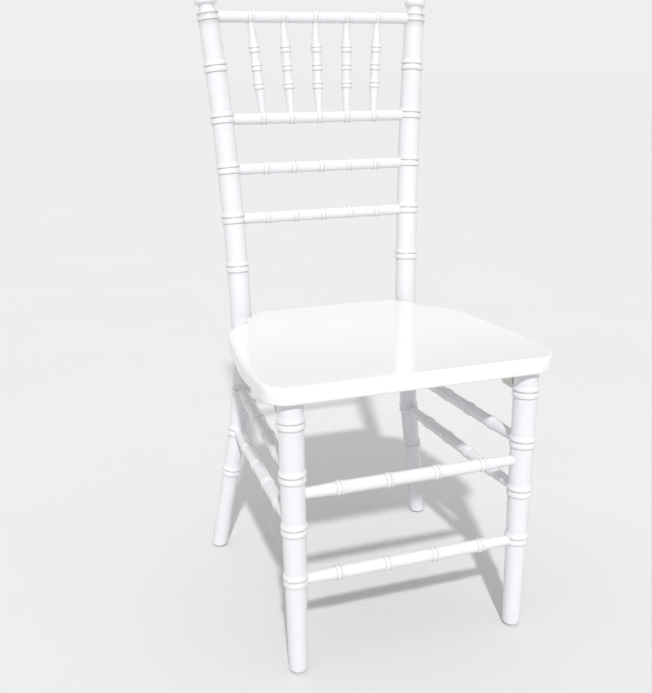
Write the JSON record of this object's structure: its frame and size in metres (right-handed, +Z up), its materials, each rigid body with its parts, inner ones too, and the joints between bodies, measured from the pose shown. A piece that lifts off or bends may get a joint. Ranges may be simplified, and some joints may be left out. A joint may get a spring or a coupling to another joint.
{
  "type": "banquet chair",
  "caption": "Painted wooden banquet chair with turned bamboo rings on its legs, posts, back rails, spindles and stretchers, and a flat board seat.",
  "frame": {"origin": "on the floor, under the middle of the outline", "axes": "+Z up, -Y the side the sitter faces, X across the chair"},
  "size_m": [0.42, 0.4392, 0.9143],
  "materials": {
    "frame_paint": "turned hardwood under white semi-gloss paint",
    "seat_paint": "flat board under white gloss paint",
    "bare_wood": "planed hardwood under thin white paint",
    "screw_steel": "zinc plated steel",
    "glide_nylon": "moulded nylon, matt"
  },
  "bodies": {
    "root": {"rear_post_left": "frame_paint", "rear_post_right": "frame_paint", "front_leg_left": "frame_paint", "front_leg_right": "frame_paint", "crest_rail": "frame_paint", "spindle_rail": "frame_paint", "back_rail_upper": "frame_paint", "back_rail_lower": "frame_paint", "spindle_1": "frame_paint", "spindle_2": "frame_paint", "spindle_3": "frame_paint", "spindle_4": "frame_paint", "spindle_5": "frame_paint", "front_stretcher_upper": "frame_paint", "front_stretcher_lower": "frame_paint", "side_stretcher_upper_left": "frame_paint", "side_stretcher_upper_right": "frame_paint", "side_stretcher_lower_left": "frame_paint", "side_stretcher_lower_right": "frame_paint", "rear_seat_rail": "bare_wood", "seat_board": "seat_paint", "corner_block_left": "bare_wood", "corner_block_right": "bare_wood", "seat_screws": "screw_steel", "foot_glides": "glide_nylon"}
  },
  "joints": []
}
